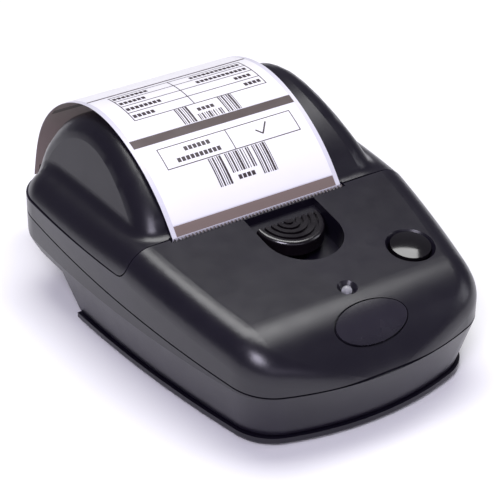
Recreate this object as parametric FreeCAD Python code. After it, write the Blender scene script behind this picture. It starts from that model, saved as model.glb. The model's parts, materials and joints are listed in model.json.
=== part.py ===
"""Portable label printer: a clamshell case with a drop-in roll of labels.

Millimetres.  +Z up, +Y from the front to the rear, +X to the right seen from the front.
The origin lies on the table under the middle of the overall length, from the front of the
case to the rear end of the hanging label strip.
"""
import FreeCAD
import Part
import math
import os

Vector = FreeCAD.Vector

# ---- case, overall -----------------------------------------------------------------------
CASE_LENGTH = 130.0
CASE_WIDTH = 103.0
STRIP_OVERHANG = 18.0        # how far the hanging labels stand out behind the case
SLOT_FROM_FRONT = 60.5       # label slot, measured from the front of the case
DECK_HEIGHT = 40.9           # top of the case at the label slot
DECK_SLOPE = 0.139           # the deck falls towards the front
SHOULDER_SLOPE = -0.05       # the lid's shoulders fall a little towards the rear
FRONT_ARC_RADIUS = 95.0
REAR_ARC_RADIUS = 260.0
SIDE_ARC_RADIUS = 390.0
WIDEST_FROM_SLOT = 45.0      # the sides bulge most here
FRONT_CORNER_RADIUS = 15.0
REAR_CORNER_RADIUS = 15.0
NOSE_RADIUS = 24.0           # round between deck and front wall
EDGE_RADIUS = 9.0            # round between deck and side walls
LID_REAR_RADIUS = 15.0
WALL = 2.2
DRAFT_INSET = 4.0            # how far the base wall leans in at its foot
SEAM_HEIGHT = 23.0           # main seam below the label slot
SEAM_SLOPE = 0.065
SEAM_GROOVE = 0.5            # width and depth of the groove drawn along the seams
SEAM_GROOVE_DEPTH = 0.9
RIM_HEIGHT = 32.0            # top of the side rims, under the lid
LID_GAP = 0.4
LID_CORNER_RADIUS = 4.0
END_RELIEF = 0.6             # the rolled ends start this far outside the plan

# ---- dome of the lid, over the roll --------------------------------------------------------
DOME_OUTLINE = ((0.8, 39.0), (5.0, 45.0), (11.0, 49.6), (23.5, 55.9), (41.0, 59.2),
                (58.0, 53.4), (66.0, 43.5), (68.6, 31.0))    # behind the slot, height
DOME_OUTLINE_TOP = max(height for _, height in DOME_OUTLINE)
DOME_HALF_WIDTH = 41.0       # where the dome's cheeks meet the shoulders
DOME_CHEEK_LEAN = 0.3        # sideways lean of the cheeks per unit of height
DOME_EDGE_RADIUS = 8.0
DOME_ROOT_RADIUS = 5.0

# ---- foot of the base ----------------------------------------------------------------------
FOOT_HEIGHT = 0.8            # rubber feet stand out below the base plate
PLATE_THICKNESS = 2.4
PLATE_GROOVE = 0.5
FOOT_LENGTH_FROM_SLOT = 31.0  # rear wall of the narrow foot of the base, behind the slot
OVERHANG_HEIGHT = 16.5       # underside of the overhanging rear
FOOT_LEAN = 4.0              # the foot's rear wall leans out this much on its way up
OVERHANG_BEND = 48.0         # behind the slot: the underside turns up from here
DRAFT_TOP = 19.0             # above this height the base wall is upright
FOOT_PAD_RADIUS = 5.0
SCREW_RADIUS = 1.5
SCREW_HEAD_RADIUS = 2.5

# ---- lid hinge -----------------------------------------------------------------------------
HINGE_FROM_REAR = 3.5
HINGE_HEIGHT = 31.0
HINGE_BARREL_RADIUS = 2.6
HINGE_PIN_RADIUS = 1.25
HINGE_HALF_LENGTH = 39.0
HINGE_EAR_X = 26.0
HINGE_EAR_WIDTH = 4.0
EAR_RELIEF = 0.6             # the ears' stems stay clear of the opened lid's lower edge
HINGE_WELL_HALF_WIDTH = 43.0
HINGE_WELL_HEIGHT = 26.8
HINGE_WELL_LENGTH = 9.0

# ---- labels --------------------------------------------------------------------------------
LABEL_WIDTH = 58.0
LABEL_OFFSET = -4.0          # the labels run a little left of the middle
PAPER_THICKNESS = 0.22
SLOT_MARGIN = 1.0            # the slot is this much wider than the labels, each side
ROLL_RADIUS = 16.5
ROLL_CORE_RADIUS = 6.5
CORE_WALL = 1.1
ROLL_FROM_SLOT = 41.0
ROLL_HEIGHT = 36.5
SPINDLE_CLEARANCE = 0.05

# ---- print mechanism -----------------------------------------------------------------------
PLATEN_RADIUS = 4.5
PLATEN_SHAFT_RADIUS = 1.5
PLATEN_HEIGHT = 31.8
BUSHING_RADIUS = 2.6
BUSHING_LENGTH = 2.5
RUNNING_CLEARANCE = 0.05
BODY_GAP = 0.35              # between pieces that move past each other
HEAD_THICKNESS = 1.2
HEATSINK_THICKNESS = 2.6
HEAD_BOTTOM = 26.0
HEAD_TOP = 35.8
GEAR_MODULE = 0.7
PLATEN_TEETH = 16
IDLER_TEETH = 28
PINION_TEETH = 12
GEAR_WIDTH = 3.0
GEAR_BACKLASH = 0.22
IDLER_LEAN = 20.0            # degrees from straight below the platen, towards the front
PINION_RISE = 40.0           # degrees above level, from the idler towards the front
MOTOR_RADIUS = 7.0
MOTOR_LENGTH = 14.0
GEAR_PLATE_THICKNESS = 0.8

# ---- controls on the deck ------------------------------------------------------------------
LATCH_X = 2.0
LATCH_RECESS_HALF_WIDTH = 12.2
LATCH_RECESS_LENGTH = 24.3
LATCH_RECESS_DEPTH = 8.0
LATCH_RECESS_FROM_SLOT = 1.6
LATCH_SCOOP_LENGTH = 4.4     # shallow scoop between the slot and the deep recess
LATCH_SCOOP_DEPTH = 2.5
LATCH_TONGUE_RADIUS = 10.8
LATCH_TONGUE_REAR = 6.4      # rear edge of the tongue, in front of the slot
LATCH_TONGUE_THICKNESS = 4.2
LATCH_TRAVEL = 3.0
BUTTON_X = 27.1
BUTTON_FROM_SLOT = 32.4
BUTTON_RADIUS = 6.0
BUTTON_WELL_RADIUS = 7.4
BUTTON_TRAVEL = 1.2
LED_FROM_SLOT = 39.4
LED_RADIUS = 1.6
LED_WELL_RADIUS = 3.3
BADGE_FROM_SLOT = 50.5
BADGE_HEIGHT = 29.9
BADGE_LEAN = 37.0            # degrees that the badge's face leans back from level
BADGE_HALF_LENGTH = 11.6
BADGE_HALF_WIDTH = 6.2

# ---- power ---------------------------------------------------------------------------------
CELL_RADIUS = 7.1
CELL_LENGTH = 49.5
CELL_COUNT = 4
CELL_GAP = 0.3
CELL_FRONT_FROM_SLOT = 25.0

BAY_HALF_WIDTH = 29.6
DOOR_HALF_WIDTH = 29.6
RAIL = 1.3                   # depth of the door's side grooves
DOOR_GRIPS = 5
SCREW_FRONT_X = 27.0
SCREW_FROM_FRONT = 25.0
SCREW_REAR_X = 35.5
SCREW_FROM_REAR = 15.5
POST_TOP = 12.0
FOOT_FRONT_X = 22.0
FOOT_REAR_X = 37.5

# ---- sockets, boards and small parts -------------------------------------------------------
DATA_X = 37.5
DATA_HALF_WIDTH = 6.0
DATA_HALF_HEIGHT = 4.2
INLET_X = -37.5
INLET_HALF = 4.5
PORT_Z = 11.0
PORT_DEPTH = 3.5
BOARD_Z = 8.0
BOARD_LENGTH = 20.0
SWITCH_TOP = -8.0            # below the deck's surface
SWITCH_HEIGHT = 4.0
BUTTON_CROWN = 1.0
SEAM_HALF = 0.4              # half of the seam between deck and lid
TUB_WALL = 1.5
STEM_FROM_SLOT = 10.5
STEM_LENGTH = 3.0
STEM_HALF = 2.0
TONGUE_DROP = 0.5
LATCH_RIDGES = 4
HOOK_X = -41.2
HOOK_WIDTH = 1.2
HOOK_BAR_Z = 25.0
SPRING_X = -20.0
TEAR_FRONT = 1.2
TEAR_THICKNESS = 0.6
TEAR_BOTTOM = 36.3
TEAR_TOP = 41.3
TOOTH_PITCH = 1.2
TOOTH_HEIGHT = 0.9
BADGE_GROOVE = 0.5
BADGE_POCKET = 1.0
BADGE_RISE = 0.4
PLATEN_BACK = 4.6            # platen axis behind the slot
HEAD_FACE = 0.25
WEB_GAP = 0.06
WEB_TOP = 34.6
LID_LIP = 0.8
EAR_RADIUS = 2.4
CHEEK_LEFT = -39.9
GEAR_PLATE_X = 30.3
GEAR_X = 31.6
BEAM_Z = 18.5
AXLE_RADIUS = 1.0
EAR_PLACES = (-37.7, 27.0)
HOLDER_GAP = 1.6
HOLDER_WIDTH = 1.4
STRIP_POINTS = ((5.3, 46.9), (23.5, 58.4), (42.0, 62.0), (61.3, 56.8), (81.2, 37.5))
STRIP_END_HEIGHT = 18.5      # the labels hang down to this height
STRIP_START_GAP = 0.2        # parts the strip from the web below it
STRIP_ARCS = 12              # arcs that make up the strip's curve

# ---- derived places ------------------------------------------------------------------------
CASE_FRONT_Y = -(CASE_LENGTH + STRIP_OVERHANG) / 2
CASE_REAR_Y = CASE_FRONT_Y + CASE_LENGTH
SLOT_Y = CASE_FRONT_Y + SLOT_FROM_FRONT
HINGE_Y = CASE_REAR_Y - HINGE_FROM_REAR
HALF_WIDTH = CASE_WIDTH / 2
WIDEST_Y = SLOT_Y + WIDEST_FROM_SLOT
PLATE_TOP = FOOT_HEIGHT + PLATE_THICKNESS
BASE_BOTTOM = PLATE_TOP + PLATE_GROOVE
FLOOR_TOP = BASE_BOTTOM + WALL
LABEL_LEFT = LABEL_OFFSET - LABEL_WIDTH / 2
LABEL_RIGHT = LABEL_OFFSET + LABEL_WIDTH / 2
SLOT_LEFT = LABEL_LEFT - SLOT_MARGIN
SLOT_RIGHT = LABEL_RIGHT + SLOT_MARGIN
ROLL_Y = SLOT_Y + ROLL_FROM_SLOT
FOOT_REAR_Y = SLOT_Y + FOOT_LENGTH_FROM_SLOT
FAR = 2 * CASE_LENGTH


CELL_Z = BASE_BOTTOM + 0.2 + CELL_RADIUS
BAY_FRONT_Y = SLOT_Y - CELL_FRONT_FROM_SLOT
BOARD_REAR_Y = BAY_FRONT_Y - 2
BOARD_FRONT_Y = BOARD_REAR_Y - BOARD_LENGTH
PLATEN = (SLOT_Y + PLATEN_BACK, PLATEN_HEIGHT)
PLATEN_REACH = GEAR_MODULE * (PLATEN_TEETH + IDLER_TEETH) / 2
PINION_REACH = GEAR_MODULE * (IDLER_TEETH + PINION_TEETH) / 2
IDLER = (PLATEN[0] - PLATEN_REACH * math.sin(math.radians(IDLER_LEAN)),
         PLATEN[1] - PLATEN_REACH * math.cos(math.radians(IDLER_LEAN)))
MOTOR = (IDLER[0] - PINION_REACH * math.cos(math.radians(PINION_RISE)),
         IDLER[1] + PINION_REACH * math.sin(math.radians(PINION_RISE)))


# ---- small helpers -------------------------------------------------------------------------
def box(x0, x1, y0, y1, z0, z1):
    """Box between two corners."""
    return Part.makeBox(x1 - x0, y1 - y0, z1 - z0, Vector(x0, y0, z0))


def rod_x(radius, x0, x1, y, z):
    """Round bar along X."""
    return Part.makeCylinder(radius, x1 - x0, Vector(x0, y, z), Vector(1, 0, 0))


def rod_y(radius, x, y0, y1, z):
    """Round bar along Y."""
    return Part.makeCylinder(radius, y1 - y0, Vector(x, y0, z), Vector(0, 1, 0))


def rod_z(radius, x, y, z0, z1):
    """Round bar along Z."""
    return Part.makeCylinder(radius, z1 - z0, Vector(x, y, z0), Vector(0, 0, 1))


def plate_x(points, x0, x1):
    """Plate across X with its outline given as (y, z) points."""
    ring = [Vector(x0, y, z) for y, z in points]
    return Part.Face(Part.makePolygon(ring + ring[:1])).extrude(Vector(x1 - x0, 0, 0))


def join(shapes):
    """One solid made of several that touch."""
    return shapes[0].multiFuse(shapes[1:]).removeSplitter()


def save(node, *shapes):
    """Write one node; several solids stay separate."""
    solids = [solid for shape in shapes for solid in shape.Solids]
    shape = solids[0] if len(solids) == 1 else Part.Compound(solids)
    shape.exportStep(os.path.join("parts", node + ".step"))


def deck_height(y):
    """Height of the sloping deck at y."""
    return DECK_HEIGHT + DECK_SLOPE * (y - SLOT_Y)


def seam_height(y):
    """Height of the main seam at y."""
    return SEAM_HEIGHT + SEAM_SLOPE * (y - SLOT_Y)


# ---- outer form of the case ----------------------------------------------------------------
def corner_arc(centre_a, radius_a, centre_b, radius_b, radius, side):
    """Corner arc inside two larger arcs: its centre and the tangent points on both."""
    reach_a = radius_a - radius
    reach_b = radius_b - radius
    line = centre_b - centre_a
    span = line.Length
    along = (reach_a ** 2 - reach_b ** 2 + span ** 2) / (2 * span)
    across = math.sqrt(reach_a ** 2 - along ** 2)
    unit = line / span
    normal = Vector(-unit.y, unit.x, 0) * side
    centre = centre_a + unit * along + normal * across
    on_a = centre_a + (centre - centre_a) / reach_a * radius_a
    on_b = centre_b + (centre - centre_b) / reach_b * radius_b
    middle = centre + ((on_a - centre) + (on_b - centre)).normalize() * radius
    return on_a, middle, on_b


def mirrored(point):
    """The same point on the left."""
    return Vector(-point.x, point.y, point.z)


def plan_wire(front_inset, side_inset, rear_inset, z):
    """Plan outline of the case, drawn in by an inset at each side."""
    front_centre = Vector(0, CASE_FRONT_Y + FRONT_ARC_RADIUS, 0)
    rear_centre = Vector(0, CASE_REAR_Y - REAR_ARC_RADIUS, 0)
    side_centre = Vector(HALF_WIDTH - SIDE_ARC_RADIUS, WIDEST_Y, 0)
    front_radius = FRONT_ARC_RADIUS - front_inset
    rear_radius = REAR_ARC_RADIUS - rear_inset
    side_radius = SIDE_ARC_RADIUS - side_inset
    front, front_mid, side_front = corner_arc(
        front_centre, front_radius, side_centre, side_radius, FRONT_CORNER_RADIUS, 1)
    rear, rear_mid, side_rear = corner_arc(
        rear_centre, rear_radius, side_centre, side_radius, REAR_CORNER_RADIUS, -1)
    side_mid = side_centre + Vector(side_radius, 0, 0)
    front_tip = front_centre - Vector(0, front_radius, 0)
    rear_tip = rear_centre + Vector(0, rear_radius, 0)
    stops = [
        (mirrored(front), front_tip, front),
        (front, front_mid, side_front),
        (side_front, side_mid, side_rear),
        (side_rear, rear_mid, rear),
        (rear, rear_tip, mirrored(rear)),
        (mirrored(rear), mirrored(rear_mid), mirrored(side_rear)),
        (mirrored(side_rear), mirrored(side_mid), mirrored(side_front)),
        (mirrored(side_front), mirrored(front_mid), mirrored(front)),
    ]
    wire = Part.Wire([Part.Arc(a, b, c).toShape() for a, b, c in stops])
    wire.translate(Vector(0, 0, z))
    return wire


def plan_prism(inset, z0, z1):
    """Upright prism of the plan outline."""
    return Part.Face(plan_wire(inset, inset, inset, z0)).extrude(Vector(0, 0, z1 - z0))


def top_block(inset, radius, slope, front):
    """Case block with a sloping top, one end rolled over and its top edge rounded."""
    outward = -1 if front else 1
    end_y = (CASE_FRONT_Y if front else CASE_REAR_Y) + outward * (END_RELIEF - inset)
    roll = radius - inset
    length = math.hypot(1, slope)
    centre = Vector(0, end_y - outward * roll, 0)
    centre.z = DECK_HEIGHT - inset + slope * (centre.y - SLOT_Y) - roll * length
    normal = Vector(0, -slope / length, 1 / length)
    tangent = centre + normal * roll
    middle = centre + (normal + Vector(0, outward, 0)).normalize() * roll
    end = centre + Vector(0, outward * roll, 0)
    far_y = -outward * FAR
    far_top = Vector(0, far_y, DECK_HEIGHT - inset + slope * (far_y - SLOT_Y))
    corners = [end, Vector(0, end_y, -FAR), Vector(0, far_y, -FAR), far_top, tangent]
    edges = [Part.LineSegment(a, b).toShape() for a, b in zip(corners, corners[1:])]
    edges.append(Part.Arc(tangent, middle, end).toShape())
    section = Part.Face(Part.Wire(edges))
    section.translate(Vector(-FAR, 0, 0))
    block = plan_prism(inset, 0, FAR).common(section.extrude(Vector(2 * FAR, 0, 0)))
    rim = [edge for edge in block.Edges if edge.BoundBox.ZMin > 1 and edge.BoundBox.YLength > 0.1]
    return block.makeFillet(EDGE_RADIUS - inset, rim)


def dome_outline(inset):
    """Side outline of the dome as points, drawn in by an inset."""
    points = []
    for index, (back, height) in enumerate(DOME_OUTLINE):
        before = DOME_OUTLINE[max(index - 1, 0)]
        after = DOME_OUTLINE[min(index + 1, len(DOME_OUTLINE) - 1)]
        run = after[0] - before[0]
        rise = after[1] - before[1]
        length = math.hypot(run, rise)
        y = SLOT_Y + back + inset * rise / length
        points.append(Vector(0, y, height - inset * run / length))
    return points


def dome(inset):
    """Bulge of the lid over the roll, with leaning cheeks."""
    points = dome_outline(inset)
    curve = Part.BSplineCurve()
    curve.interpolate(points)
    foot_front = Vector(0, points[0].y, RIM_HEIGHT - WALL)
    foot_rear = Vector(0, points[-1].y, RIM_HEIGHT - WALL)
    ring = [points[-1], foot_rear, foot_front, points[0]]
    edges = [Part.LineSegment(a, b).toShape() for a, b in zip(ring, ring[1:])]
    section = Part.Face(Part.Wire([curve.toShape()] + edges))
    section.translate(Vector(-FAR, 0, 0))
    half = DOME_HALF_WIDTH - inset
    tall = DOME_OUTLINE_TOP + WALL
    low = RIM_HEIGHT - WALL
    half_low = half + (DECK_HEIGHT - low) * DOME_CHEEK_LEAN
    half_high = half - (tall - DECK_HEIGHT) * DOME_CHEEK_LEAN
    ring = [(-half_low, low), (half_low, low), (half_high, tall), (-half_high, tall)]
    ring = [Vector(x, -FAR, z) for x, z in ring]
    wedge = Part.Face(Part.makePolygon(ring + ring[:1])).extrude(Vector(0, 2 * FAR, 0))
    body = section.extrude(Vector(2 * FAR, 0, 0)).common(wedge)
    cheek_edges = [edge for edge in body.Edges
                   if edge.BoundBox.YLength > 20 and edge.BoundBox.ZMax > DECK_HEIGHT]
    return body.makeFillet(DOME_EDGE_RADIUS - inset, cheek_edges)


def base_form(inset, open_top):
    """Lower half of the case: leaning wall, narrow foot and overhanging rear."""
    bottom = BASE_BOTTOM + inset
    foot = plan_wire(*[DRAFT_INSET + inset] * 3, bottom)
    waist = plan_wire(*[inset] * 3, DRAFT_TOP)
    form = Part.makeLoft([foot, waist], True, True)
    form = form.fuse(plan_prism(inset, DRAFT_TOP, RIM_HEIGHT)).removeSplitter()
    wall_y = FOOT_REAR_Y - inset
    under_z = OVERHANG_HEIGHT + inset
    below = plate_x([
        (wall_y, -FAR), (wall_y, bottom), (wall_y + FOOT_LEAN, under_z),
        (SLOT_Y + OVERHANG_BEND, under_z), (CASE_REAR_Y - inset, seam_height(CASE_REAR_Y) - 3 + inset),
        (FAR, seam_height(CASE_REAR_Y) - 3 + inset), (FAR, -FAR)], -FAR, FAR)
    top = 0 if not open_top else RIM_HEIGHT
    above = plate_x([
        (-FAR, seam_height(-FAR) + top), (-FAR, FAR), (FAR, FAR),
        (FAR, seam_height(FAR) + top)], -FAR, FAR)
    return form.cut(below).cut(above)


def seam_groove():
    """Band cut along the main seam so that it shows as a fine line."""
    half = SEAM_GROOVE / 2
    band = plate_x([
        (-FAR, seam_height(-FAR) - half), (FAR, seam_height(FAR) - half),
        (FAR, seam_height(FAR) + half), (-FAR, seam_height(-FAR) + half)], -FAR, FAR)
    return band.common(plan_prism(-1, 1, RIM_HEIGHT).cut(plan_prism(SEAM_GROOVE_DEPTH, 1, RIM_HEIGHT)))


def hinge_well():
    """Space at the rear where the lid's barrel turns."""
    return box(-HINGE_WELL_HALF_WIDTH, HINGE_WELL_HALF_WIDTH, CASE_REAR_Y - HINGE_WELL_LENGTH, FAR,
               HINGE_WELL_HEIGHT, FAR)


def screw_places():
    """Case screws: two at the front, two beside the batteries."""
    for side in (-1, 1):
        yield side * SCREW_FRONT_X, CASE_FRONT_Y + SCREW_FROM_FRONT
        yield side * SCREW_REAR_X, FOOT_REAR_Y - SCREW_FROM_REAR


def cell_rows():
    """Middle X of each battery cell."""
    pitch = 2 * CELL_RADIUS + CELL_GAP
    return [(index - (CELL_COUNT - 1) / 2) * pitch for index in range(CELL_COUNT)]


def port_hole(x, half_width, half_height, z):
    """Opening in the foot's rear wall for a socket."""
    return box(x - half_width, x + half_width, FOOT_REAR_Y - PORT_DEPTH, FOOT_REAR_Y + FOOT_LEAN,
               z - half_height, z + half_height)


def base_housing():
    """Lower shell with screw posts, hinge ears and socket openings."""
    shell = base_form(0, False).cut(base_form(WALL, True)).cut(hinge_well())
    floor_z = BASE_BOTTOM + WALL
    bay = box(-BAY_HALF_WIDTH, BAY_HALF_WIDTH, BAY_FRONT_Y, FOOT_REAR_Y - WALL - SEAM_GROOVE, 0, floor_z + 1)
    posts = []
    for x, y in screw_places():
        post = rod_z(SCREW_RADIUS + 2, x, y, floor_z - 1, POST_TOP)
        posts.append(post.cut(rod_z(SCREW_RADIUS, x, y, 0, POST_TOP - 2)))
    for side in (-1, 1):
        middle = side * HINGE_EAR_X
        low = HINGE_WELL_HEIGHT - 4
        ear = box(middle - HINGE_EAR_WIDTH / 2, middle + HINGE_EAR_WIDTH / 2,
                  HINGE_Y - EAR_RADIUS, HINGE_Y + EAR_RADIUS - EAR_RELIEF, low, HINGE_HEIGHT)
        cap = rod_x(EAR_RADIUS, middle - HINGE_EAR_WIDTH / 2, middle + HINGE_EAR_WIDTH / 2,
                    HINGE_Y, HINGE_HEIGHT)
        posts.append(ear.fuse(cap).common(plan_prism(0.2, 0, FAR)))
    shell = shell.cut(bay)
    shell = join([shell] + posts)
    for x, y in screw_places():
        shell = shell.cut(rod_z(SCREW_RADIUS, x, y, 0, POST_TOP - 2))
    shell = shell.cut(port_hole(DATA_X, DATA_HALF_WIDTH + 0.2, DATA_HALF_HEIGHT + 0.2, PORT_Z))
    shell = shell.cut(port_hole(INLET_X, INLET_HALF + 0.2, INLET_HALF + 0.2, PORT_Z))
    shell = shell.cut(rod_x(HINGE_PIN_RADIUS, -FAR, FAR, HINGE_Y, HINGE_HEIGHT))
    return shell.cut(seam_groove())


def base_plate():
    """Bottom plate with a rounded lip, the door rails and the screw pockets."""
    lip_inset = DRAFT_INSET - 1.0
    lip = plan_prism(lip_inset, FOOT_HEIGHT, PLATE_TOP)
    lip = lip.common(box(-FAR, FAR, -FAR, FOOT_REAR_Y, 0, FAR))
    lip = lip.makeFillet(PLATE_THICKNESS / 2 - 0.1, [
        edge for edge in lip.Edges if edge.BoundBox.ZMax < PLATE_TOP - 1 and edge.BoundBox.YLength > 0.1])
    step = plan_prism(DRAFT_INSET + 1.2, PLATE_TOP, BASE_BOTTOM)
    step = step.common(box(-FAR, FAR, -FAR, FOOT_REAR_Y - 1.2, 0, FAR))
    plate = lip.fuse(step).removeSplitter()
    plate = plate.cut(box(-DOOR_HALF_WIDTH, DOOR_HALF_WIDTH, BAY_FRONT_Y, FAR, 0, FAR))
    middle = (FOOT_HEIGHT + PLATE_TOP) / 2
    plate = plate.cut(box(-DOOR_HALF_WIDTH - RAIL, DOOR_HALF_WIDTH + RAIL, BAY_FRONT_Y, FAR,
                          middle - 0.8, middle + 0.8))
    for x, y in screw_places():
        plate = plate.cut(rod_z(SCREW_HEAD_RADIUS + 0.2, x, y, 0, PLATE_TOP - 0.8))
        plate = plate.cut(rod_z(SCREW_RADIUS, x, y, 0, FAR))
    return plate


def battery_door():
    """Sliding door in the bottom plate, with a tongue along each side."""
    rear_y = FOOT_REAR_Y - BODY_GAP
    half = DOOR_HALF_WIDTH - BODY_GAP
    door = box(-half, half, BAY_FRONT_Y + BODY_GAP, rear_y, FOOT_HEIGHT, PLATE_TOP)
    middle = (FOOT_HEIGHT + PLATE_TOP) / 2
    reach = DOOR_HALF_WIDTH + RAIL - BODY_GAP
    tongue = box(-reach, reach, BAY_FRONT_Y + BODY_GAP, rear_y - 2, middle - 0.45, middle + 0.45)
    door = door.fuse(tongue).removeSplitter()
    for index in range(DOOR_GRIPS):
        y = BAY_FRONT_Y + 4 + index * 2
        door = door.cut(box(-8, 8, y, y + 1, 0, FOOT_HEIGHT + 0.4))
    return door


def rubber_feet():
    """Round pads under the bottom plate."""
    pads = []
    for side in (-1, 1):
        for x, y in ((FOOT_FRONT_X, CASE_FRONT_Y + 15), (FOOT_REAR_X, FOOT_REAR_Y - 8)):
            pad = rod_z(FOOT_PAD_RADIUS, side * x, y, 0, FOOT_HEIGHT)
            pads.append(pad.makeFillet(0.3, [pad.Edges[2]]))
    return pads


def case_screws():
    """Countersunk screws that hold the plate and the lower shell together."""
    screws = []
    for x, y in screw_places():
        head = rod_z(SCREW_HEAD_RADIUS, x, y, FOOT_HEIGHT + 0.3, PLATE_TOP - 0.8)
        slot = box(x - 2, x + 2, y - 0.3, y + 0.3, 0, FOOT_HEIGHT + 0.8)
        cross = box(x - 0.3, x + 0.3, y - 2, y + 2, 0, FOOT_HEIGHT + 0.8)
        shank = rod_z(SCREW_RADIUS - 0.05, x, y, PLATE_TOP - 0.8, POST_TOP - 3)
        screws.append(head.cut(slot).cut(cross).fuse(shank).removeSplitter())
    return screws


def battery_cells():
    """Round cells side by side, each with its raised end."""
    cells = []
    for index, x in enumerate(cell_rows()):
        front = BAY_FRONT_Y + 2
        can = rod_y(CELL_RADIUS, x, front, front + CELL_LENGTH, CELL_Z)
        rear_end = index % 2 == 0
        start = front + CELL_LENGTH if rear_end else front - 1
        cells.append(can.fuse(rod_y(2.7, x, start, start + 1, CELL_Z)))
    return cells


def battery_contacts():
    """Bent spring plates at both ends of the cells."""
    plates = []
    rear = BAY_FRONT_Y + 2 + CELL_LENGTH + 1
    for x in cell_rows():
        plates.append(box(x - 5, x + 5, BAY_FRONT_Y + 0.4, BAY_FRONT_Y + 0.8, CELL_Z - 5, CELL_Z + 5))
        plates.append(box(x - 5, x + 5, rear + 0.1, rear + 0.5, CELL_Z - 5, CELL_Z + 5))
    return plates


def main_board():
    """Circuit board in the front of the case."""
    board = box(-30, 30, BOARD_FRONT_Y, BOARD_REAR_Y, BOARD_Z, BOARD_Z + 1.6)
    for x, y in screw_places():
        board = board.cut(rod_z(SCREW_RADIUS + 2.3, x, y, 0, FAR))
    return board


def board_components():
    """Chips, a capacitor and a connector on the main board."""
    top = BOARD_Z + 1.6
    y = BOARD_FRONT_Y
    parts = [box(-8, 4, y + 4, y + 16, top, top + 1.4), box(-22, -14, y + 5, y + 11, top, top + 1.2),
             box(10, 22, y + 3, y + 8, top, top + 4.5), rod_z(3.5, 14, y + 14, top, top + 6)]
    for index in range(6):
        parts.append(box(-26 + index * 3, -24.6 + index * 3, y + 17, y + 17.8, top, top + 0.6))
    return parts


# ---- deck: top cover and its controls -------------------------------------------------------
def deck_point(x, from_slot, above):
    """Point on the deck's line, moved along the deck's normal."""
    length = math.hypot(1, DECK_SLOPE)
    y = SLOT_Y - from_slot
    return Vector(x, y - above * DECK_SLOPE / length, deck_height(y) + above / length)


def deck_rod(radius, x, from_slot, low, high):
    """Round bar square to the deck, between two distances from its surface."""
    axis = Vector(0, -DECK_SLOPE, 1)
    return Part.makeCylinder(radius, high - low, deck_point(x, from_slot, low), axis)


def deck_cone(low_radius, high_radius, x, from_slot, low, high):
    """Cone square to the deck."""
    axis = Vector(0, -DECK_SLOPE, 1)
    return Part.makeCone(low_radius, high_radius, high - low, deck_point(x, from_slot, low), axis)


def latch_outline(grow, rear_from_slot, z0, z1):
    """Recess outline: straight sides and a round front."""
    half = LATCH_RECESS_HALF_WIDTH + grow
    front = SLOT_Y - LATCH_RECESS_FROM_SLOT - LATCH_RECESS_LENGTH + LATCH_RECESS_HALF_WIDTH
    straight = box(LATCH_X - half, LATCH_X + half, front, SLOT_Y - rear_from_slot + grow, z0, z1)
    round_end = rod_z(half, LATCH_X, front, z0, z1).common(box(-FAR, FAR, -FAR, front, z0, z1))
    return straight.fuse(round_end).removeSplitter()


def deck_layer(depth):
    """Everything above a plane that lies a depth below the deck."""
    return plate_x([(-FAR, deck_height(-FAR) - depth), (FAR, deck_height(FAR) - depth),
                    (FAR, FAR), (-FAR, FAR)], -FAR, FAR)


def badge_prism(grow):
    """Oval bar square to the nose at the badge."""
    lean = math.radians(BADGE_LEAN)
    axis = Vector(0, -math.sin(lean), math.cos(lean))
    centre = Vector(0, SLOT_Y - BADGE_FROM_SLOT, BADGE_HEIGHT) - axis * 6
    oval = Part.Ellipse(Vector(0, 0, 0), BADGE_HALF_LENGTH + grow, BADGE_HALF_WIDTH + grow)
    face = Part.Face(Part.Wire([oval.toShape()]))
    face.Placement = FreeCAD.Placement(centre, FreeCAD.Rotation(Vector(1, 0, 0), BADGE_LEAN))
    return face.extrude(axis * 12)


def lid_region(gap):
    """Space that belongs to the lid, grown by a gap, with a rounded lower front corner."""
    region = box(-FAR, FAR, SLOT_Y + SEAM_HALF - gap, FAR, RIM_HEIGHT + LID_GAP - gap, FAR)
    corner = [edge for edge in region.Edges
              if edge.BoundBox.YLength < 0.1 and edge.BoundBox.ZLength < 0.1
              and edge.BoundBox.YMin < SLOT_Y + 1 and edge.BoundBox.ZMin < RIM_HEIGHT + 1]
    return region.makeFillet(LID_CORNER_RADIUS + gap, corner)


def top_form(inset):
    """Filled form of the top cover, drawn in by an inset."""
    deck = top_block(inset, NOSE_RADIUS, DECK_SLOPE, True)
    rim = plan_prism(inset, 1, DECK_HEIGHT - EDGE_RADIUS).common(box(-FAR, FAR, SLOT_Y, FAR, 0, FAR))
    return deck.common(box(-FAR, FAR, -FAR, SLOT_Y + 6, 0, FAR)).fuse(rim)


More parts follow.
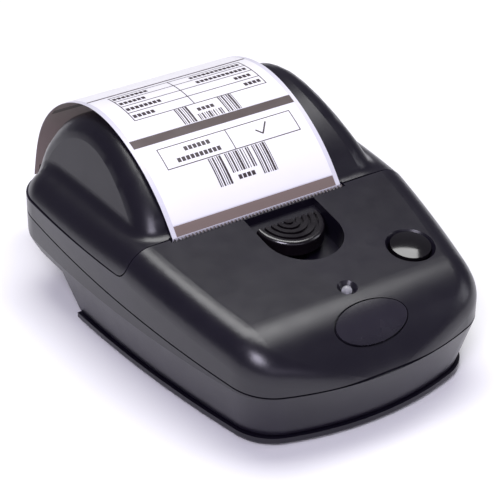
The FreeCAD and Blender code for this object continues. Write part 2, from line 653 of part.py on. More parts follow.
def top_cover():
    """Upper shell: deck, nose and side rims, with its recesses."""
    outer = top_form(0)
    shell = outer.cut(top_form(WALL))
    tub = latch_outline(TUB_WALL, LATCH_RECESS_FROM_SLOT + LATCH_SCOOP_LENGTH, 0, FAR)
    tub = tub.common(deck_layer(LATCH_RECESS_DEPTH + TUB_WALL))
    scoop = latch_outline(TUB_WALL, LATCH_RECESS_FROM_SLOT, 0, FAR)
    scoop = scoop.common(deck_layer(LATCH_SCOOP_DEPTH + TUB_WALL))
    sleeve = deck_rod(BUTTON_RADIUS + BODY_GAP + 1.2, BUTTON_X, BUTTON_FROM_SLOT, -5, 0)
    added = tub.fuse(scoop).fuse(sleeve).common(outer)
    shell = shell.fuse(added).removeSplitter()
    shell = shell.cut(lid_region(LID_GAP))
    shell = shell.cut(plate_x([(-FAR, -FAR), (FAR, -FAR), (FAR, seam_height(FAR)),
                               (-FAR, seam_height(-FAR))], -FAR, FAR))
    hollow = latch_outline(0, LATCH_RECESS_FROM_SLOT + LATCH_SCOOP_LENGTH, 0, FAR)
    shell = shell.cut(hollow.common(deck_layer(LATCH_RECESS_DEPTH)))
    hollow = latch_outline(0, LATCH_RECESS_FROM_SLOT, 0, FAR)
    shell = shell.cut(hollow.common(deck_layer(LATCH_SCOOP_DEPTH)))
    stem_front = SLOT_Y - STEM_FROM_SLOT - STEM_LENGTH / 2 - LATCH_TRAVEL
    shell = shell.cut(box(LATCH_X - STEM_HALF - BODY_GAP, LATCH_X + STEM_HALF + BODY_GAP,
                          stem_front - BODY_GAP, SLOT_Y - STEM_FROM_SLOT + STEM_LENGTH / 2 + BODY_GAP,
                          0, DECK_HEIGHT - 4))
    shell = shell.cut(deck_rod(BUTTON_RADIUS + BODY_GAP, BUTTON_X, BUTTON_FROM_SLOT, -8, 4))
    shell = shell.cut(deck_cone(BUTTON_RADIUS + BODY_GAP, BUTTON_WELL_RADIUS,
                                BUTTON_X, BUTTON_FROM_SLOT, -1.4, 0.02))
    shell = shell.cut(deck_rod(LED_RADIUS + 0.1, 0, LED_FROM_SLOT, -8, 4))
    shell = shell.cut(deck_cone(LED_RADIUS, LED_WELL_RADIUS, 0, LED_FROM_SLOT, -1.8, 0.4))
    shell = shell.cut(badge_prism(BADGE_GROOVE).common(
        outer.cut(top_block(BADGE_POCKET, NOSE_RADIUS, DECK_SLOPE, True))))
    shell = shell.cut(box(SLOT_LEFT, SLOT_RIGHT, SLOT_Y - TEAR_FRONT, SLOT_Y + 2, TEAR_BOTTOM, FAR))
    shell = shell.cut(hinge_well())
    return shell.cut(seam_groove())


def badge():
    """Blank oval inlay on the nose, slightly proud of it."""
    skin = top_block(-BADGE_RISE, NOSE_RADIUS, DECK_SLOPE, True).cut(
        top_block(BADGE_POCKET, NOSE_RADIUS, DECK_SLOPE, True))
    return badge_prism(0).common(skin)


def tear_bar():
    """Toothed steel blade along the front of the label slot."""
    teeth = int((SLOT_RIGHT - SLOT_LEFT - 1) / TOOTH_PITCH)
    left = (SLOT_LEFT + SLOT_RIGHT - teeth * TOOTH_PITCH) / 2
    ring = [Vector(left, 0, TEAR_BOTTOM)]
    for index in range(teeth):
        x = left + index * TOOTH_PITCH
        ring.append(Vector(x, 0, TEAR_TOP - TOOTH_HEIGHT))
        ring.append(Vector(x + TOOTH_PITCH / 2, 0, TEAR_TOP))
    ring.append(Vector(left + teeth * TOOTH_PITCH, 0, TEAR_TOP - TOOTH_HEIGHT))
    ring.append(Vector(left + teeth * TOOTH_PITCH, 0, TEAR_BOTTOM))
    blade = Part.Face(Part.makePolygon(ring + ring[:1])).extrude(Vector(0, TEAR_THICKNESS, 0))
    blade.translate(Vector(0, SLOT_Y - TEAR_FRONT, 0))
    return blade


def release_latch():
    """Sliding tongue with curved grip ridges, its stem and the hook bar below."""
    rear_y = SLOT_Y - LATCH_TONGUE_REAR
    disc = rod_z(LATCH_TONGUE_RADIUS, LATCH_X, rear_y, 0, FAR)
    disc = disc.common(box(-FAR, FAR, -FAR, rear_y, 0, FAR))
    top = deck_layer(TONGUE_DROP)
    low = deck_layer(TONGUE_DROP + LATCH_TONGUE_THICKNESS)
    tongue = disc.common(low).cut(top)
    tongue = tongue.makeFillet(1.2, [edge for edge in tongue.Edges
                                     if edge.BoundBox.ZMin > deck_height(rear_y) - TONGUE_DROP - 2.5
                                     and edge.BoundBox.YLength > 5])
    for index in range(LATCH_RIDGES):
        radius = LATCH_TONGUE_RADIUS - 1.8 - index * 2.2
        groove = rod_z(radius, LATCH_X, rear_y, 0, FAR).cut(rod_z(radius - 0.9, LATCH_X, rear_y, 0, FAR))
        tongue = tongue.cut(groove.common(deck_layer(TONGUE_DROP + 0.7)))
    stem_y = SLOT_Y - STEM_FROM_SLOT
    stem = box(LATCH_X - STEM_HALF, LATCH_X + STEM_HALF, stem_y - STEM_LENGTH / 2,
               stem_y + STEM_LENGTH / 2, HOOK_BAR_Z, DECK_HEIGHT - LATCH_TONGUE_THICKNESS)
    bar = box(HOOK_X - HOOK_WIDTH, LATCH_X + STEM_HALF, stem_y - STEM_LENGTH / 2, stem_y + 1,
              HOOK_BAR_Z, HOOK_BAR_Z + 2.4)
    nose_y = SLOT_Y + PLATEN_BACK - PLATEN_SHAFT_RADIUS - BODY_GAP
    arm = plate_x([(stem_y - STEM_LENGTH / 2, HOOK_BAR_Z), (stem_y + 1, HOOK_BAR_Z),
                   (nose_y, PLATEN_HEIGHT), (nose_y, PLATEN_HEIGHT + 3),
                   (nose_y - 3, PLATEN_HEIGHT + 3)], HOOK_X - HOOK_WIDTH, HOOK_X)
    return join([tongue, stem, bar, arm])


def latch_spring():
    """Return spring in front of the hook bar."""
    y = SLOT_Y - STEM_FROM_SLOT - STEM_LENGTH / 2 - LATCH_TRAVEL - 0.5
    z = HOOK_BAR_Z + 1.2
    return rod_y(1.8, SPRING_X, y - 6, y, z).cut(rod_y(1.2, SPRING_X, y - 7, y + 1, z))


def feed_button():
    """Domed cap with a stem."""
    cap = deck_rod(BUTTON_RADIUS, BUTTON_X, BUTTON_FROM_SLOT, -4, BUTTON_CROWN)
    ball_radius = 22.0
    ball = Part.makeSphere(ball_radius, deck_point(BUTTON_X, BUTTON_FROM_SLOT, BUTTON_CROWN - ball_radius))
    cap = cap.common(ball)
    stem = deck_rod(1.5, BUTTON_X, BUTTON_FROM_SLOT, SWITCH_TOP + BODY_GAP + BUTTON_TRAVEL, -4)
    return cap.fuse(stem).removeSplitter()


def panel_board():
    """Small board under the button and the lamp."""
    board = box(-7, 35, -10, 7, -1.6, 0)
    board.Placement = FreeCAD.Placement(
        deck_point(0, BUTTON_FROM_SLOT, SWITCH_TOP - SWITCH_HEIGHT),
        FreeCAD.Rotation(Vector(1, 0, 0), math.degrees(math.atan(DECK_SLOPE))))
    return board.cut(deck_rod(1, -4, BUTTON_FROM_SLOT, -30, 0))


def feed_switch():
    """Push switch below the feed button."""
    body = box(-3, 3, -3, 3, 0, SWITCH_HEIGHT - 1)
    body = body.fuse(rod_z(1.6, 0, 0, SWITCH_HEIGHT - 1, SWITCH_HEIGHT)).removeSplitter()
    body.Placement = FreeCAD.Placement(
        deck_point(BUTTON_X, BUTTON_FROM_SLOT, SWITCH_TOP - SWITCH_HEIGHT),
        FreeCAD.Rotation(Vector(1, 0, 0), math.degrees(math.atan(DECK_SLOPE))))
    return body


def status_lamp():
    """Clear lamp with a round tip, standing on the small board."""
    foot = SWITCH_TOP - SWITCH_HEIGHT
    body = deck_rod(LED_RADIUS, 0, LED_FROM_SLOT, foot, -1.4)
    tip = Part.makeSphere(LED_RADIUS, deck_point(0, LED_FROM_SLOT, -1.4))
    return body.fuse(tip).removeSplitter()


# ---- print mechanism ------------------------------------------------------------------------
def gear(teeth, place, x0, x1, bore, phase):
    """Spur gear across X with trapezoid-like teeth and play on both flanks."""
    pitch = GEAR_MODULE * teeth / 2
    outer = pitch + 0.85 * GEAR_MODULE
    root = pitch - 1.15 * GEAR_MODULE
    step = 2 * math.pi / teeth
    half = step / 4 - GEAR_BACKLASH / 2 / pitch
    lean = math.tan(math.radians(20))
    ring = []
    for index in range(teeth):
        middle = phase + index * step
        for radius, side in ((root, -1), (pitch, -1), (outer, -1), (outer, 1), (pitch, 1), (root, 1)):
            angle = half - (radius - pitch) * lean / pitch
            turn = middle + side * angle
            ring.append((place[0] + radius * math.cos(turn), place[1] + radius * math.sin(turn)))
    return plate_x(ring, x0, x1).cut(rod_x(bore, x0 - 1, x1 + 1, *place))


def mesh_phase(place, teeth, other, other_teeth, other_phase):
    """Phase that puts a gap of this gear where the other gear has a tooth on the line between."""
    toward = math.atan2(place[1] - other[1], place[0] - other[0])
    other_step = 2 * math.pi / other_teeth
    offset = ((toward - other_phase) / other_step) % 1.0
    step = 2 * math.pi / teeth
    return toward + math.pi + step / 2 + offset * step


PLATEN_PHASE = mesh_phase(PLATEN, PLATEN_TEETH, IDLER, IDLER_TEETH, 0.0)
PINION_PHASE = mesh_phase(MOTOR, PINION_TEETH, IDLER, IDLER_TEETH, 0.0)


def chassis():
    """Steel beam and left cheek that carry the print head."""
    beam = box(CHEEK_LEFT, GEAR_PLATE_X, SLOT_Y - 4, SLOT_Y - 0.4, BEAM_Z, HEAD_BOTTOM - 2.2)
    cheek = box(CHEEK_LEFT, CHEEK_LEFT + 1.2, SLOT_Y - 6.8, SLOT_Y + 9, BEAM_Z, PLATEN_HEIGHT + 3)
    rail = box(CHEEK_LEFT, LATCH_X - LATCH_RECESS_HALF_WIDTH - TUB_WALL - 0.5,
               SLOT_Y - 6.8, SLOT_Y - 6.0, BEAM_Z, PLATEN_HEIGHT)
    post = box(CHEEK_LEFT, CHEEK_LEFT + 3, SLOT_Y - 6.8, SLOT_Y - 0.4, FLOOR_TOP, HEAD_BOTTOM - 2.2)
    frame = join([beam, cheek, rail, post])
    half = PLATEN_SHAFT_RADIUS + BODY_GAP
    y = SLOT_Y + PLATEN_BACK
    frame = frame.cut(box(-FAR, CHEEK_LEFT + 1.3, y - half, y + half, PLATEN_HEIGHT, FAR))
    return frame.cut(rod_x(half, -FAR, CHEEK_LEFT + 1.3, y, PLATEN_HEIGHT))


def gear_plate():
    """Right cheek: carries the motor and the idler."""
    plate = plate_x([(SLOT_Y - 21, BEAM_Z), (SLOT_Y - 7, FLOOR_TOP), (SLOT_Y + 6, FLOOR_TOP),
                     (SLOT_Y + 9, BEAM_Z), (SLOT_Y + 9, PLATEN_HEIGHT + 3), (SLOT_Y - 3, PLATEN_HEIGHT + 3),
                     (SLOT_Y - 6, MOTOR[1] + MOTOR_RADIUS), (SLOT_Y - 21, MOTOR[1] + MOTOR_RADIUS)],
                    GEAR_PLATE_X, GEAR_PLATE_X + GEAR_PLATE_THICKNESS)
    half = PLATEN_SHAFT_RADIUS + BODY_GAP
    y = SLOT_Y + PLATEN_BACK
    plate = plate.cut(box(0, FAR, y - half, y + half, PLATEN_HEIGHT, FAR))
    plate = plate.cut(rod_x(half, 0, FAR, y, PLATEN_HEIGHT))
    plate = plate.cut(rod_x(AXLE_RADIUS, 0, FAR, *IDLER))
    return plate.cut(rod_x(AXLE_RADIUS + 1, 0, FAR, *MOTOR))


def motor_can():
    """Stepper motor with its flange."""
    right = GEAR_PLATE_X
    can = rod_x(MOTOR_RADIUS, right - MOTOR_LENGTH, right - 1, *MOTOR)
    flange = rod_x(MOTOR_RADIUS - 0.6, right - 1, right, *MOTOR)
    body = can.fuse(flange).removeSplitter()
    return body.cut(rod_x(AXLE_RADIUS + RUNNING_CLEARANCE, right - 6, right + 1, *MOTOR))


def motor_pinion():
    """Pinion on the motor's shaft."""
    shaft = rod_x(AXLE_RADIUS, GEAR_PLATE_X - 5, GEAR_X + GEAR_WIDTH, *MOTOR)
    return gear(PINION_TEETH, MOTOR, GEAR_X, GEAR_X + GEAR_WIDTH, AXLE_RADIUS, PINION_PHASE).fuse(shaft)


def print_head():
    """Ceramic heating strip that faces the platen."""
    return box(LABEL_LEFT - 1, LABEL_RIGHT + 1, SLOT_Y - HEAD_FACE - HEAD_THICKNESS, SLOT_Y - HEAD_FACE,
               HEAD_BOTTOM, HEAD_TOP)


def head_heatsink():
    """Aluminium bar behind the ceramic strip, with cooling grooves."""
    front = SLOT_Y - HEAD_FACE - HEAD_THICKNESS - HEATSINK_THICKNESS
    bar = box(LABEL_LEFT - 1, LABEL_RIGHT + 1, front, front + HEATSINK_THICKNESS,
              HEAD_BOTTOM - 2, HEAD_TOP - 0.4)
    for index in range(4):
        z = HEAD_BOTTOM + index * 2.2
        bar = bar.cut(box(-FAR, FAR, front - 1, front + 0.8, z, z + 0.9))
    return bar


def head_springs():
    """Springs that press the head against the platen."""
    rear = SLOT_Y - HEAD_FACE - HEAD_THICKNESS - HEATSINK_THICKNESS
    springs = []
    for x in (LABEL_LEFT + 4, LABEL_LEFT + 16):
        coil = rod_y(1.8, x, SLOT_Y - 6, rear, HEAD_BOTTOM + 3)
        springs.append(coil.cut(rod_y(1.2, x, SLOT_Y - 7, rear + 1, HEAD_BOTTOM + 3)))
    return springs


def platen_rubber():
    """Rubber sleeve of the platen."""
    sleeve = rod_x(PLATEN_RADIUS, LABEL_LEFT - 0.5, LABEL_RIGHT + 0.8, *PLATEN)
    return sleeve.cut(rod_x(PLATEN_SHAFT_RADIUS, -FAR, FAR, *PLATEN))


def platen_shaft():
    """Steel shaft of the platen."""
    return rod_x(PLATEN_SHAFT_RADIUS, HOOK_X - 1.6, GEAR_X + GEAR_WIDTH + 0.4, *PLATEN)


def platen_gear():
    """Gear pressed on the platen's right end."""
    return gear(PLATEN_TEETH, PLATEN, GEAR_X, GEAR_X + GEAR_WIDTH, PLATEN_SHAFT_RADIUS, PLATEN_PHASE)


def idler_gear():
    """Idler between the motor and the platen."""
    return gear(IDLER_TEETH, IDLER, GEAR_X, GEAR_X + GEAR_WIDTH, AXLE_RADIUS + RUNNING_CLEARANCE, 0.0)


def idler_axle():
    """Fixed axle of the idler with a small head."""
    axle = rod_x(AXLE_RADIUS, GEAR_PLATE_X, GEAR_X + GEAR_WIDTH + 0.4, *IDLER)
    head = rod_x(AXLE_RADIUS + 0.8, GEAR_X + GEAR_WIDTH + 0.4, GEAR_X + GEAR_WIDTH + 1.0, *IDLER)
    return axle.fuse(head).removeSplitter()


def platen_bushings():
    """Plain bearings of the platen in the lid's ears."""
    rings = []
    for x in EAR_PLACES:
        ring = rod_x(BUSHING_RADIUS, x, x + BUSHING_LENGTH, SLOT_Y + PLATEN_BACK, PLATEN_HEIGHT)
        rings.append(ring.cut(rod_x(PLATEN_SHAFT_RADIUS + RUNNING_CLEARANCE, x - 1, x + 4,
                                    SLOT_Y + PLATEN_BACK, PLATEN_HEIGHT)))
    return rings


# ---- labels ---------------------------------------------------------------------------------
def label_roll():
    """Roll of labels."""
    roll = rod_x(ROLL_RADIUS, LABEL_LEFT, LABEL_RIGHT, ROLL_Y, ROLL_HEIGHT)
    return roll.cut(rod_x(ROLL_CORE_RADIUS, LABEL_LEFT - 1, LABEL_RIGHT + 1, ROLL_Y, ROLL_HEIGHT))


def roll_core():
    """Cardboard tube inside the roll."""
    tube = rod_x(ROLL_CORE_RADIUS, LABEL_LEFT, LABEL_RIGHT, ROLL_Y, ROLL_HEIGHT)
    return tube.cut(rod_x(ROLL_CORE_RADIUS - CORE_WALL, LABEL_LEFT - 1, LABEL_RIGHT + 1,
                          ROLL_Y, ROLL_HEIGHT))


def roll_spindle():
    """Drop-in bar that carries the roll."""
    radius = ROLL_CORE_RADIUS - CORE_WALL - SPINDLE_CLEARANCE
    return rod_x(radius, LABEL_LEFT - HOLDER_GAP - HOLDER_WIDTH, LABEL_RIGHT + HOLDER_GAP + HOLDER_WIDTH,
                 ROLL_Y, ROLL_HEIGHT)


def roll_holders():
    """Two cheeks with open seats for the spindle."""
    radius = ROLL_CORE_RADIUS - CORE_WALL - SPINDLE_CLEARANCE
    cheeks = []
    for x in (LABEL_LEFT - HOLDER_GAP - HOLDER_WIDTH, LABEL_RIGHT + HOLDER_GAP):
        cheek = box(x, x + HOLDER_WIDTH, ROLL_Y - 6.5, ROLL_Y + 6.5, OVERHANG_HEIGHT + WALL,
                    ROLL_HEIGHT + 3)
        cheek = cheek.cut(rod_x(radius, x - 1, x + 4, ROLL_Y, ROLL_HEIGHT))
        cheeks.append(cheek.cut(box(x - 1, x + 4, ROLL_Y - radius, ROLL_Y + radius, ROLL_HEIGHT, FAR)))
    return cheeks


def label_web():
    """Labels between the roll and the print line, round the underside of the platen."""
    platen = Vector(0, SLOT_Y + PLATEN_BACK, PLATEN_HEIGHT)
    roll = Vector(0, ROLL_Y, ROLL_HEIGHT)
    span = roll - platen
    near = PLATEN_RADIUS + WEB_GAP
    far = ROLL_RADIUS + WEB_GAP
    turn = math.atan2(span.z, span.y) - math.pi / 2 - math.asin((far - near) / span.Length)
    down = Vector(0, math.cos(turn), math.sin(turn))
    front = Vector(0, -1, 0)
    between = (down + front).normalize()
    top = Vector(0, 0, WEB_TOP - PLATEN_HEIGHT)
    outer = near + PAPER_THICKNESS
    edges = [
        Part.LineSegment(roll + down * (far + PAPER_THICKNESS), platen + down * outer).toShape(),
        Part.Arc(platen + down * outer, platen + between * outer, platen + front * outer).toShape(),
        Part.LineSegment(platen + front * outer, platen + front * outer + top).toShape(),
        Part.LineSegment(platen + front * outer + top, platen + front * near + top).toShape(),
        Part.LineSegment(platen + front * near + top, platen + front * near).toShape(),
        Part.Arc(platen + front * near, platen + between * near, platen + down * near).toShape(),
        Part.LineSegment(platen + down * near, roll + down * far).toShape(),
        Part.LineSegment(roll + down * far, roll + down * (far + PAPER_THICKNESS)).toShape()]
    face = Part.Face(Part.Wire(edges))
    face.translate(Vector(LABEL_LEFT, 0, 0))
    return face.extrude(Vector(LABEL_WIDTH, 0, 0))


def label_strip():
    """Printed labels: up through the slot, over the dome and down behind the case."""
    y = SLOT_Y + PLATEN_BACK - PLATEN_RADIUS - WEB_GAP
    start = Vector(LABEL_LEFT, y, WEB_TOP + STRIP_START_GAP)
    bend = Vector(LABEL_LEFT, y, DECK_HEIGHT)
    points = [bend] + [Vector(LABEL_LEFT, SLOT_Y + back, height) for back, height in STRIP_POINTS]
    points.append(Vector(LABEL_LEFT, CASE_REAR_Y + STRIP_OVERHANG - PAPER_THICKNESS, STRIP_END_HEIGHT))
    curve = Part.BSplineCurve()
    curve.interpolate(points)
    inner = []
    outer = []
    for index in range(2 * STRIP_ARCS + 1):
        place = curve.FirstParameter
        place += (curve.LastParameter - curve.FirstParameter) * index / (2 * STRIP_ARCS)
        tangent = curve.tangent(place)[0]
        normal = Vector(0, -tangent.z, tangent.y)
        inner.append(curve.value(place))
        outer.append(inner[-1] + normal * PAPER_THICKNESS)
    front = Vector(0, -PAPER_THICKNESS, 0)
    corner = outer[0] - inner[0] + front
    outer[0] = inner[0] + corner * (2 * PAPER_THICKNESS ** 2 / corner.Length ** 2)
    edges = [Part.LineSegment(start + front, outer[0]).toShape(), Part.LineSegment(inner[0], start).toShape(),
             Part.LineSegment(start, start + front).toShape(),
             Part.LineSegment(outer[-1], inner[-1]).toShape()]
    for side in (inner, outer):
        for index in range(0, 2 * STRIP_ARCS, 2):
            edges.append(Part.Arc(*side[index:index + 3]).toShape())
    face = Part.Face(Part.Wire(Part.__sortEdges__(edges)))
    return face.extrude(Vector(LABEL_WIDTH, 0, 0))


# ---- lid ------------------------------------------------------------------------------------
def lid_form(inset):
    """Filled form of the lid: shoulders and dome."""
    shoulders = top_block(inset, LID_REAR_RADIUS, SHOULDER_SLOPE, False)
    return shoulders.fuse(dome(inset)).removeSplitter()


def root_edges(form):
    """Edges where the dome's cheeks meet the shoulders."""
    found = []
    for edge in form.Edges:
        limits = edge.BoundBox
        level = limits.ZMin > DECK_HEIGHT - 5 and limits.ZMax < DECK_HEIGHT + 2
        inside = max(abs(limits.XMin), abs(limits.XMax)) < DOME_HALF_WIDTH + 3.5
        if level and inside and limits.YLength > 20:
            found.append(edge)
    return found


def paper_lid():
    """Hinged lid with the platen's ears and the hinge barrel."""
    outer = lid_form(0)
    outer = outer.makeFillet(DOME_ROOT_RADIUS, root_edges(outer))
    region = lid_region(0)
    shell = outer.cut(lid_form(WALL)).common(region)
    filled = outer.common(region)
    ears = []
    for x in EAR_PLACES:
        ear = plate_x([(SLOT_Y + 1.2, PLATEN_HEIGHT - 3.6), (SLOT_Y + 8, PLATEN_HEIGHT - 3.6),
                       (SLOT_Y + 10, FAR), (SLOT_Y + 1.2, FAR)], x, x + BUSHING_LENGTH)
        upper = ear.common(filled)
        lower = ear.common(box(-FAR, FAR, -FAR, FAR, 0, RIM_HEIGHT + LID_CORNER_RADIUS + 1))
        ears += [upper, lower]
    barrel = rod_x(HINGE_BARREL_RADIUS, -HINGE_HALF_LENGTH, HINGE_HALF_LENGTH, HINGE_Y, HINGE_HEIGHT)
    shell = join([shell, barrel] + ears)
    for side in (-1, 1):
        middle = side * HINGE_EAR_X
        half = HINGE_EAR_WIDTH / 2 + BODY_GAP
        shell = shell.cut(rod_x(EAR_RADIUS + BODY_GAP + 0.2, middle - half, middle + half,
                                HINGE_Y, HINGE_HEIGHT))
    shell = shell.cut(rod_x(HINGE_PIN_RADIUS + RUNNING_CLEARANCE, -FAR, FAR, HINGE_Y, HINGE_HEIGHT))
    for x in EAR_PLACES:
        shell = shell.cut(rod_x(BUSHING_RADIUS, x - 1, x + BUSHING_LENGTH + 1,
                                SLOT_Y + PLATEN_BACK, PLATEN_HEIGHT))
    return shell.cut(box(SLOT_LEFT, SLOT_RIGHT, -FAR, SLOT_Y + LID_LIP, 0, FAR))


def hinge_pin():
    """Steel pin through the lid's barrel and the two ears of the lower shell."""
    return rod_x(HINGE_PIN_RADIUS, -HINGE_HALF_LENGTH + 0.5, HINGE_HALF_LENGTH - 0.5, HINGE_Y, HINGE_HEIGHT)


# ---- sockets --------------------------------------------------------------------------------
def data_port():
    """Square data socket with an open mouth at the rear."""
    rear = FOOT_REAR_Y + 1.0
    body = box(DATA_X - DATA_HALF_WIDTH, DATA_X + DATA_HALF_WIDTH, rear - 12, rear,
               PORT_Z - DATA_HALF_HEIGHT, PORT_Z + DATA_HALF_HEIGHT)
    return body.cut(box(DATA_X - DATA_HALF_WIDTH + 1, DATA_X + DATA_HALF_WIDTH - 1, rear - 9.5, rear + 1,
                        PORT_Z - DATA_HALF_HEIGHT + 1, PORT_Z + DATA_HALF_HEIGHT - 1))


def power_inlet():
    """Barrel inlet with its middle pin."""
    rear = FOOT_REAR_Y + 1.0
    body = box(INLET_X - INLET_HALF, INLET_X + INLET_HALF, rear - 11, rear,
               PORT_Z - INLET_HALF, PORT_Z + INLET_HALF)
    body = body.cut(rod_y(3.2, INLET_X, rear - 9.5, rear + 1, PORT_Z))
    return body.fuse(rod_y(1.0, INLET_X, rear - 10, rear - 5, PORT_Z)).removeSplitter()


def paper_sensor():
    """Small optical sensor beside the web."""
    return box(LABEL_RIGHT - 8, LABEL_RIGHT - 4, SLOT_Y + 14, SLOT_Y + 18, CELL_Z + CELL_RADIUS + 0.1,
               CELL_Z + CELL_RADIUS + 2.0)


NODES = {
    "base_housing": base_housing,
    "base_plate": base_plate,
    "battery_door": battery_door,
    "rubber_feet": rubber_feet,
    "case_screws": case_screws,
    "battery_cells": battery_cells,
    "battery_contacts": battery_contacts,
    "main_board": main_board,
    "board_components": board_components,
    "top_cover": top_cover,
    "nose_badge": badge,
    "tear_bar": tear_bar,
    "release_latch": release_latch,
    "latch_spring": latch_spring,
    "feed_button": feed_button,
    "feed_switch": feed_switch,
    "panel_board": panel_board,
    "status_lamp": status_lamp,
    "chassis": chassis,
    "gear_plate": gear_plate,
    "stepper_motor": motor_can,
    "motor_pinion": motor_pinion,
    "idler_gear": idler_gear,
    "idler_axle": idler_axle,
    "print_head": print_head,
    "head_heatsink": head_heatsink,
    "head_springs": head_springs,
    "platen_rubber": platen_rubber,
    "platen_shaft": platen_shaft,
    "platen_gear": platen_gear,
    "platen_bushings": platen_bushings,
    "label_roll": label_roll,
    "roll_core": roll_core,
    "roll_spindle": roll_spindle,
    "roll_holders": roll_holders,
    "label_web": label_web,
    "label_strip": label_strip,
    "paper_lid": paper_lid,
    "hinge_pin": hinge_pin,
    "data_port": data_port,
    "power_inlet": power_inlet,
    "paper_sensor": paper_sensor,
}


def main():
    """Write every node of the printer."""
    os.makedirs("parts", exist_ok=True)
    for node, make in NODES.items():
        made = make()
        save(node, *(made if isinstance(made, list) else [made]))
        print(node, flush=True)


if __name__ == "__main__":
    main()
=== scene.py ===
"""Looks of a portable label printer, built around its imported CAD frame.

Metres.  +Z up, +Y from the front of the case to the rear, +X to the right seen from the front.
"""

import json
import logging
import math
from dataclasses import dataclass, field
from enum import Enum

import bpy
import numpy as np
from mathutils import Matrix, Vector

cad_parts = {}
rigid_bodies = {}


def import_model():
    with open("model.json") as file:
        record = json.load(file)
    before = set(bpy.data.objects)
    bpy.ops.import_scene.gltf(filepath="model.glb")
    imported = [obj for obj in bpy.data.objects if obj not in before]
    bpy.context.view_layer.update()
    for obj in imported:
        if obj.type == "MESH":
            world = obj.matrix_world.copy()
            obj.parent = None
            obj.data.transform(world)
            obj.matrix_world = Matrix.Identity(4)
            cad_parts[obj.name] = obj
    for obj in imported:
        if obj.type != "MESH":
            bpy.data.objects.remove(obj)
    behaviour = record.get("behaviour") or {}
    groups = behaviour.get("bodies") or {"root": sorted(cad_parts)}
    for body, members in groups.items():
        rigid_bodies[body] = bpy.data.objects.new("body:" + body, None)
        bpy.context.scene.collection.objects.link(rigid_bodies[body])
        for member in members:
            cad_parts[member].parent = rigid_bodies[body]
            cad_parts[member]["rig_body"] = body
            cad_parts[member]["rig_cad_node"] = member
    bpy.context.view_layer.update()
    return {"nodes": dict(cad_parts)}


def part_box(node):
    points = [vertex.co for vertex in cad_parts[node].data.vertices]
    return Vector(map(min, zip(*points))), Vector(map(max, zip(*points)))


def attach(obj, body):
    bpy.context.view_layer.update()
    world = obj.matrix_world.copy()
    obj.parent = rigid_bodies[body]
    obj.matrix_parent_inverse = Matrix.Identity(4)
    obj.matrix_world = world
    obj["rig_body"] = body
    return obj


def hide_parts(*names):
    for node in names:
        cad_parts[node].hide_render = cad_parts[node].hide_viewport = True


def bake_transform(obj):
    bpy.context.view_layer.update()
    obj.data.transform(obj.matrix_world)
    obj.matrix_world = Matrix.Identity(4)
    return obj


MM = 0.001
LOG = logging.getLogger("label_printer")

# Places on the strip are in millimetres: across from the middle of the case, along from the slot.
TEAR_FRONT = 1.2 * MM           # the tear bar stands this far in front of the slot
LABEL_STRETCHES = ((3.6, 29.4), (32.9, 57.8), (58.8, 83.6), (87.4, 112.6))    # ends of each label
DIVIDER_BARS = ((29.6, 32.7), (57.95, 58.65))      # dark bars between labels, on the printed face
SLOT_BAR = (0.2, 3.3)           # the worn bar that stands in the slot
BACK_BARS = ((84.0, 87.0), (113.0, 115.8))         # bars on the back of the liner
STRIP_END_CLEARANCE = 1.0 * MM  # the last label stops short of the liner's end
BAR_WIDTHS = (0.4, 0.22, 0.55, 0.22, 0.4, 0.7, 0.22, 0.4, 0.22, 0.5)
RULE_WIDTH = 0.3                # drawn a little wide, so that it shows
DASH_LENGTH = 1.15
DASH_GAP = 0.35
DASH_HEIGHT = 1.5
NUMBER_DASH_HEIGHT = 1.4
TICK_WIDTH = 0.5 * MM
TICK = (((6.5, 24.0), (8.3, 22.2)), ((8.2, 22.2), (11.0, 25.9)))

# Layers of the strip, above the liner's outer face, and the thickness of each.
LABEL_THICKNESS = 0.08 * MM
INK_THICKNESS = 0.02 * MM
PRINT_THICKNESS = 0.01 * MM
PRINT_LIFT = 0.0

CURVE_POINTS = 1200             # points that the strip's curve is worked out at
STEM_POINTS = 40                # points on the straight stretch below the slot
SLOPE_STEP = 0.4 * MM           # the strip's direction is read over this length
PATCH_ROW = 0.9 * MM            # length of one face along the strip


# ---- colours and nodes ----------------------------------------------------------------------
def linear(code: str) -> tuple[float, float, float, float]:
    """Turn an sRGB hex colour into linear values.

    Args:
        code: six hex digits.

    Returns:
        Linear red, green, blue and full alpha.
    """
    values = []
    for index in (0, 2, 4):
        part = int(code[index:index + 2], 16) / 255
        values.append(part / 12.92 if part <= 0.04045 else ((part + 0.055) / 1.055) ** 2.4)
    return (*values, 1.0)


def node(tree: bpy.types.NodeTree, kind: str, links: dict | None = None, **settings) -> bpy.types.Node:
    """Add one node with its settings, input values and links.

    Args:
        tree: the material's node tree.
        kind: the node's class name without the ShaderNode prefix.
        links: socket name or number to a value or to another node's output.
        settings: attributes of the node.

    Returns:
        The new node.
    """
    made = tree.nodes.new("ShaderNode" + kind)
    for name, value in settings.items():
        setattr(made, name, value)
    for name, value in (links or {}).items():
        if isinstance(value, bpy.types.NodeSocket):
            tree.links.new(value, made.inputs[name])
        else:
            made.inputs[name].default_value = value
    return made


def ramp(tree: bpy.types.NodeTree, factor: bpy.types.NodeSocket,
         stops: list[tuple[float, tuple[float, float, float, float]]]) -> bpy.types.NodeSocket:
    """Add a colour ramp.

    Args:
        tree: the material's node tree.
        factor: the output that drives the ramp.
        stops: positions with linear colours.

    Returns:
        The ramp's colour output.
    """
    made = node(tree, "ValToRGB", {"Fac": factor})
    elements = made.color_ramp.elements
    for element, (place, colour) in zip(elements, (stops[0], stops[-1])):
        element.position = place
        element.color = colour
    for place, colour in stops[1:-1]:
        elements.new(place).color = colour
    return made.outputs["Color"]


